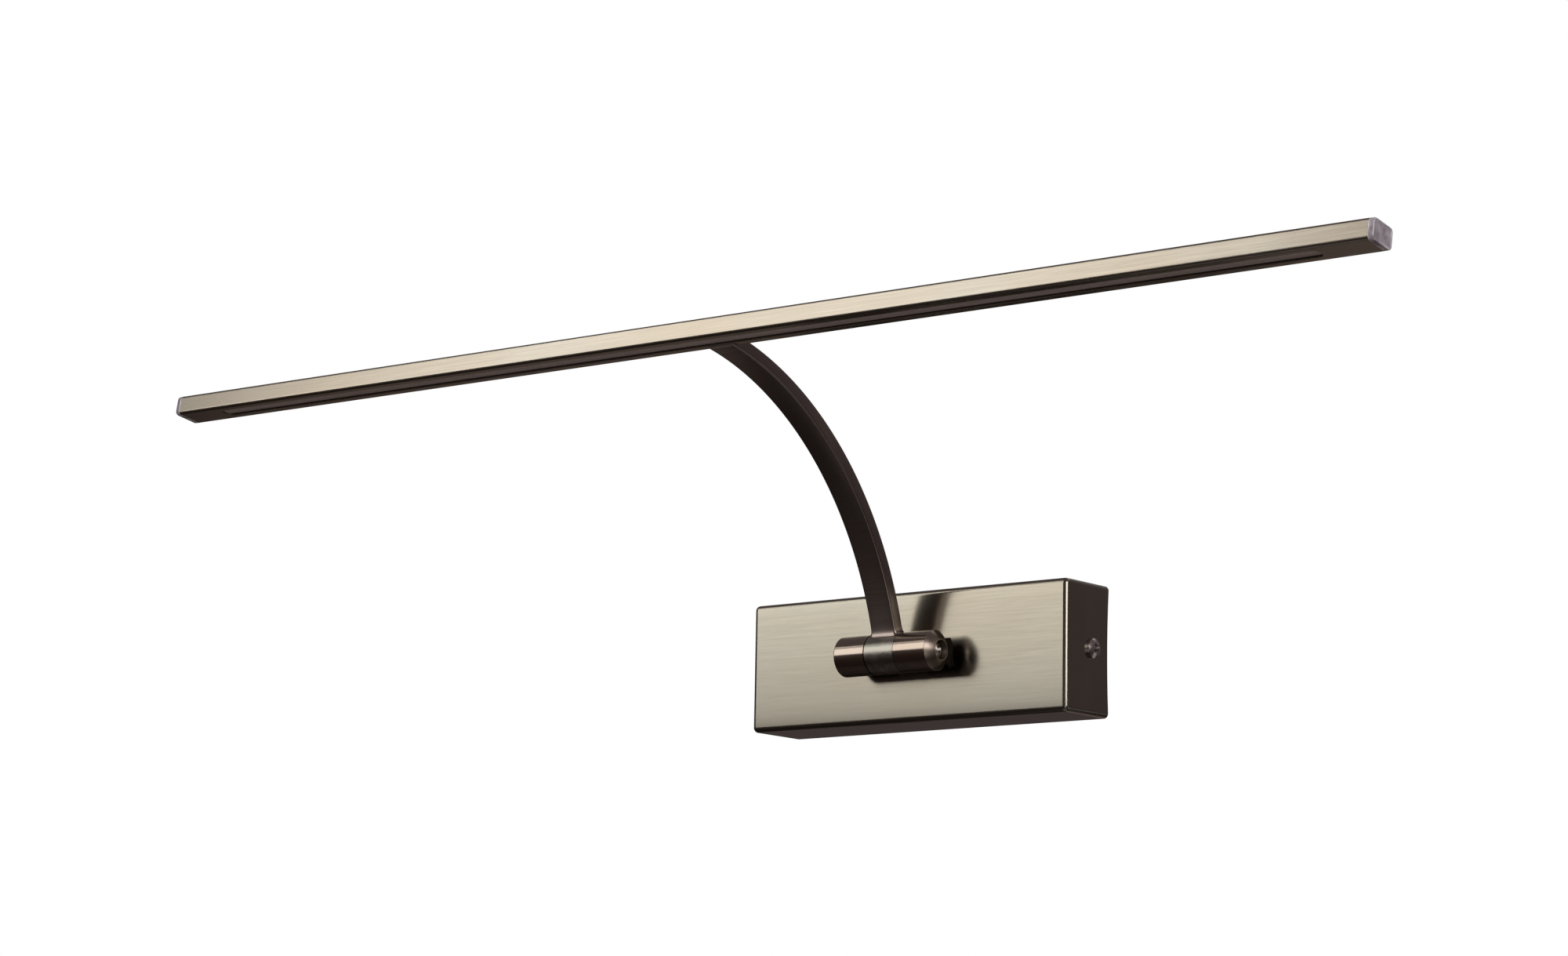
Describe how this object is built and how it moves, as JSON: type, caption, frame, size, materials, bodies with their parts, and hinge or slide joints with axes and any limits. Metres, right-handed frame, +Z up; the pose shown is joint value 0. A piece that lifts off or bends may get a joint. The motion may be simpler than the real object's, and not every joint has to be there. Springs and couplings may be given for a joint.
{
  "type": "picture light",
  "caption": "Wall-mounted picture light: a slim LED bar on a curved arm that tilts on a friction knuckle in front of a shallow wall box.",
  "frame": {"origin": "centre of the wall box's back, on the wall plane and midway between the two wall screw slots", "axes": "+X along the light bar to the right as seen from the room, +Y into the wall, +Z up; the light stands out towards -Y"},
  "size_m": [0.5572, 0.1534, 0.1364],
  "materials": {
    "cover_bronze": "brushed, antique bronze plated",
    "arm_bronze": "cross-brushed, dark antique bronze plated",
    "bar_bronze": "long-grain brushed, antique bronze plated",
    "knuckle_bronze": "satin, rose antique bronze plated",
    "centre_bronze": "satin, grey antique bronze plated",
    "screw_bronze": "satin, dark nickel plated",
    "screw_steel": "zinc plated",
    "bracket_steel": "zinc plated sheet",
    "terminal_brass": "nickel-free brass",
    "bush_bronze": "machined bronze",
    "rubber_black": "matt",
    "nylon_black": "matt",
    "nylon_white": "matt",
    "case_white": "fine texture",
    "board_green": "solder mask",
    "board_white": "white solder mask on aluminium",
    "led_phosphor": "phosphor gel",
    "transformer_tape": "polyester tape",
    "capacitor_sleeve": "shrink sleeve",
    "foam_grey": "foam tape",
    "tape_white": "thermal tape",
    "wire_brown": "insulated wire",
    "wire_red": "insulated wire",
    "diffuser_opal": "frosted acrylic",
    "cap_clear": "frosted clear plastic"
  },
  "bodies": {
    "base": {"wall_bracket": "bracket_steel", "box_cover": "cover_bronze", "cover_screws": "screw_bronze", "cable_grommet": "rubber_black", "terminal_block": "nylon_white", "terminal_screws": "terminal_brass", "terminal_fixing_screw": "screw_steel", "earth_screw": "terminal_brass", "earth_washer": "screw_steel", "driver_tape": "foam_grey", "driver_case": "case_white", "driver_lid": "case_white", "driver_board": "board_green", "driver_transformer": "transformer_tape", "driver_capacitor": "capacitor_sleeve", "mains_leads": "wire_brown", "lamp_leads": "wire_red", "lead_bush": "nylon_black", "knuckle_left": "knuckle_bronze", "knuckle_right": "knuckle_bronze", "knuckle_screws": "screw_steel", "knuckle_washers": "screw_steel", "pivot_sleeve": "screw_steel", "pivot_screw": "screw_bronze", "friction_washer_left": "nylon_black", "friction_washer_right": "screw_steel"},
    "head": {"centre_barrel": "centre_bronze", "pivot_bush": "bush_bronze", "arm": "arm_bronze", "arm_leads": "wire_red", "light_bar": "bar_bronze", "thermal_tape": "tape_white", "led_board": "board_white", "led_chips": "led_phosphor", "diffuser": "diffuser_opal", "end_cap_left": "cap_clear", "end_cap_right": "cap_clear"}
  },
  "joints": [
    {"name": "arm_tilt", "type": "hinge", "parent": "base", "child": "head", "pos_m": [0, -0.038, 0], "axis": [1, 0, 0], "range_deg": [-28, 90]}
  ]
}
